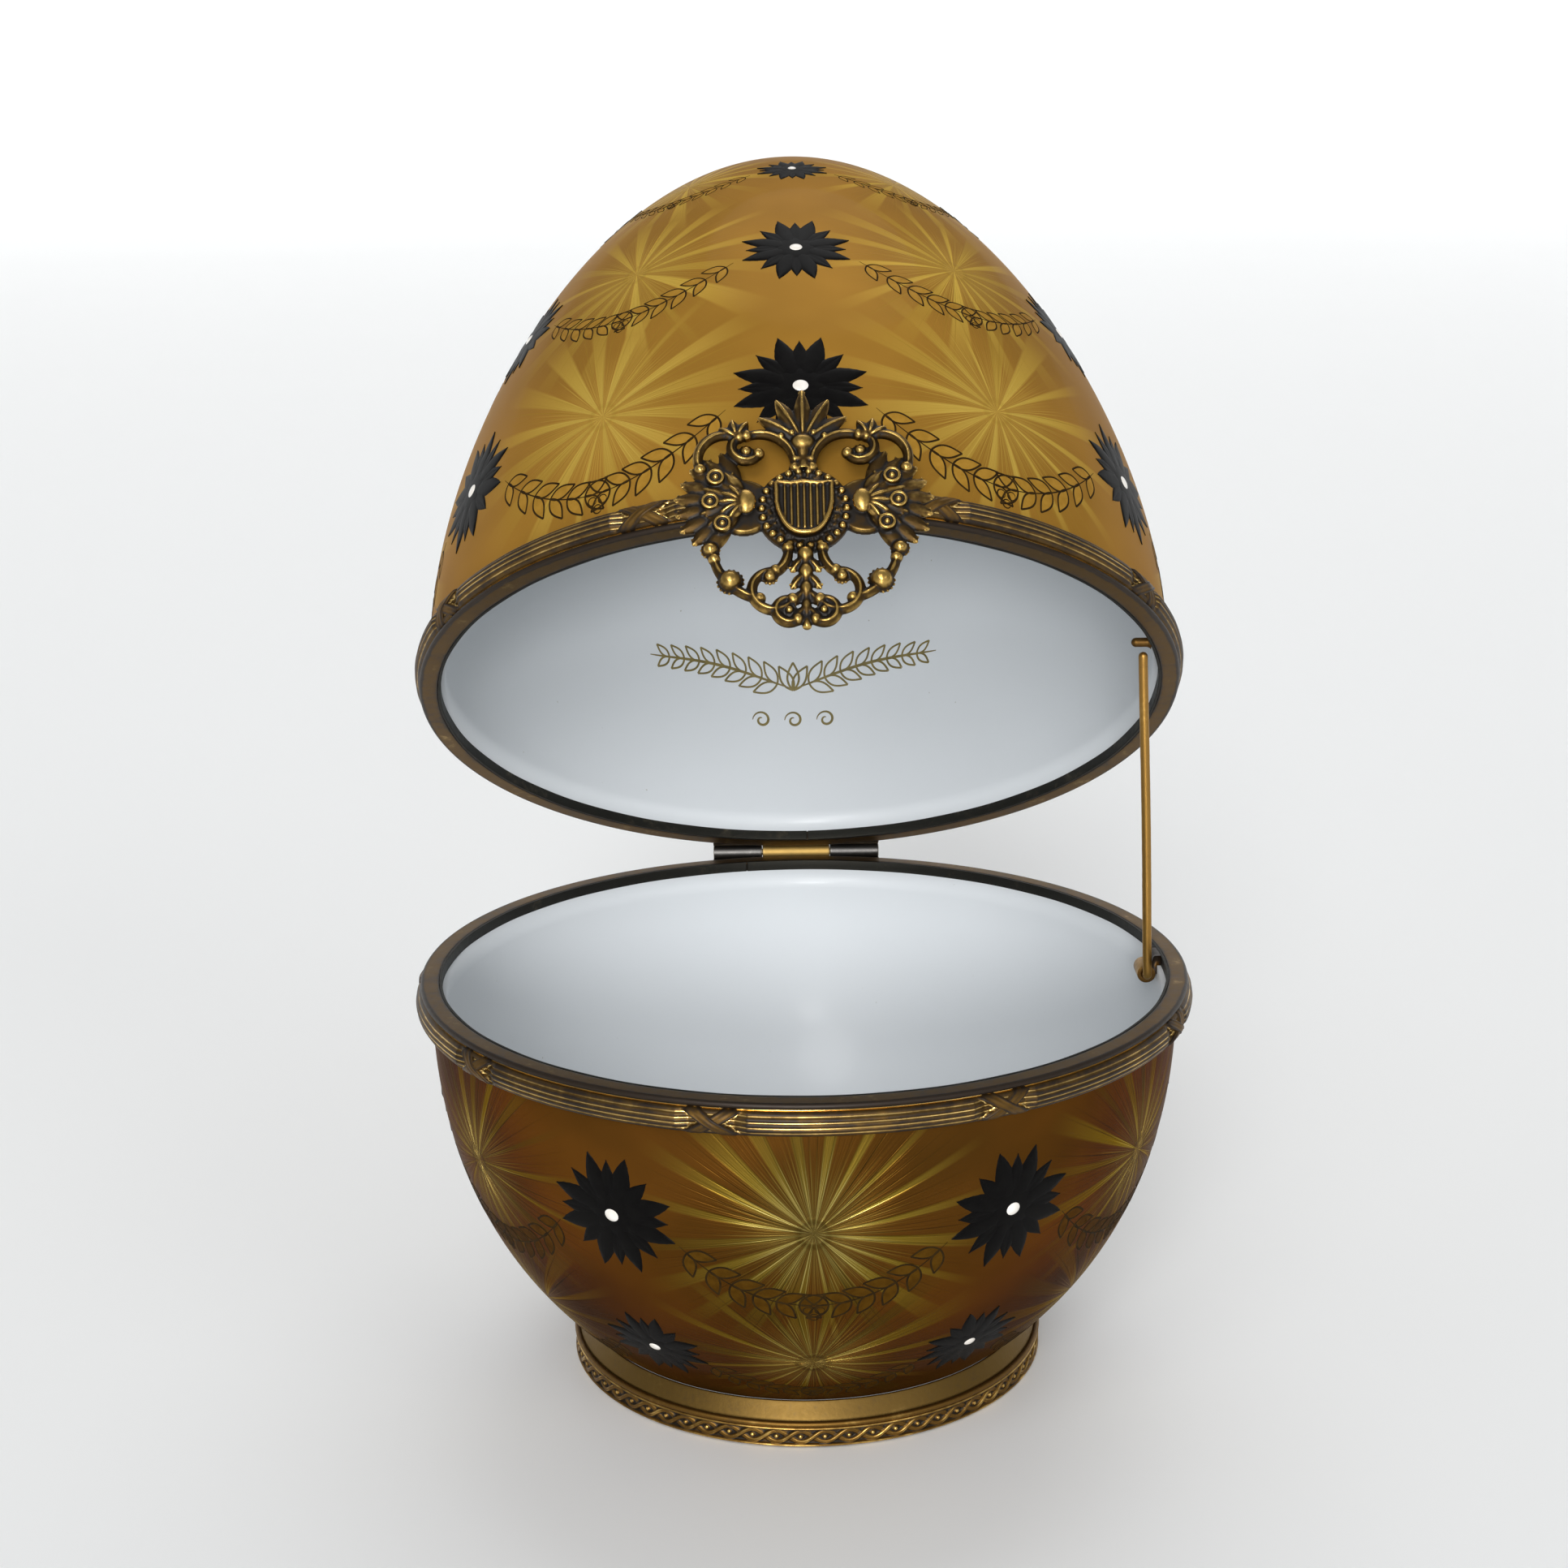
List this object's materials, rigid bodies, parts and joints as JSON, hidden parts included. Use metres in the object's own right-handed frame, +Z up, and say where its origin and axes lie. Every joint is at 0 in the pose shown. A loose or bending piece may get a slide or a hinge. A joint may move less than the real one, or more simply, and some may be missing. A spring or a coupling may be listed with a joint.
{
  "type": "hinged egg box on foot",
  "caption": "Hinged porcelain egg box on a brass foot, with reeded rim bands, a folding stay that props the lid, and a cast openwork badge on the lid's front.",
  "frame": {"origin": "centre of the foot's underside, on the table", "axes": "+Z up, +X along the hinge pin to the side with the stay, -Y towards the front and the badge"},
  "size_m": [0.1091, 0.1335, 0.1671],
  "materials": {
    "porcelain_bowl": "glossy translucent amber enamel over engine turning outside, white glaze inside",
    "porcelain_lid": "glossy translucent gold enamel over engine turning outside, white glaze inside",
    "band_brass": "antiqued cast brass, dark in the hollows",
    "tie_brass": "antiqued cast brass",
    "lining_brass": "dark patinated strip",
    "foot_brass": "satin turned brass",
    "frieze_brass": "antiqued brass relief",
    "hinge_brass": "dark patinated brass",
    "hinge_bright": "worn bright brass",
    "pin_steel": "plain steel wire",
    "stay_brass": "smooth drawn brass wire",
    "peg_brass": "dark patinated brass",
    "badge_brass": "antiqued cast brass with rubbed highlights"
  },
  "bodies": {
    "bowl": {"bowl_shell": "porcelain_bowl", "bowl_rim_band": "band_brass", "bowl_band_ties": "tie_brass", "bowl_rim_lining": "lining_brass", "foot_ring": "foot_brass", "foot_frieze": "frieze_brass", "foot_bead": "foot_brass", "bowl_hinge_seat": "hinge_brass", "hinge_tube_left": "hinge_brass", "hinge_tube_right": "hinge_brass", "hinge_pin": "pin_steel", "stay_pivot_tube": "hinge_brass"},
    "lid": {"lid_shell": "porcelain_lid", "lid_rim_band": "band_brass", "lid_band_ties": "tie_brass", "lid_rim_lining": "lining_brass", "lid_hinge_seat": "hinge_brass", "hinge_tube_middle": "hinge_bright", "stay_peg": "peg_brass", "badge": "badge_brass", "badge_studs": "hinge_brass"},
    "stay": {"stay_rod": "stay_brass", "stay_end_button": "stay_brass"}
  },
  "joints": [
    {"name": "lid_hinge", "type": "hinge", "parent": "bowl", "child": "lid", "pos_m": [0, 0.0554, 0.0577], "axis": [1, 0, 0], "range_deg": [0, 38.6]},
    {"name": "stay_swing", "type": "hinge", "parent": "bowl", "child": "stay", "pos_m": [0.0487, 0, 0.0548], "axis": [0, -1, 0], "range_deg": [0, 154.4]}
  ],
  "couplings": [
    {"joint": "stay_swing", "follows": "lid_hinge", "ratio": 4}
  ]
}
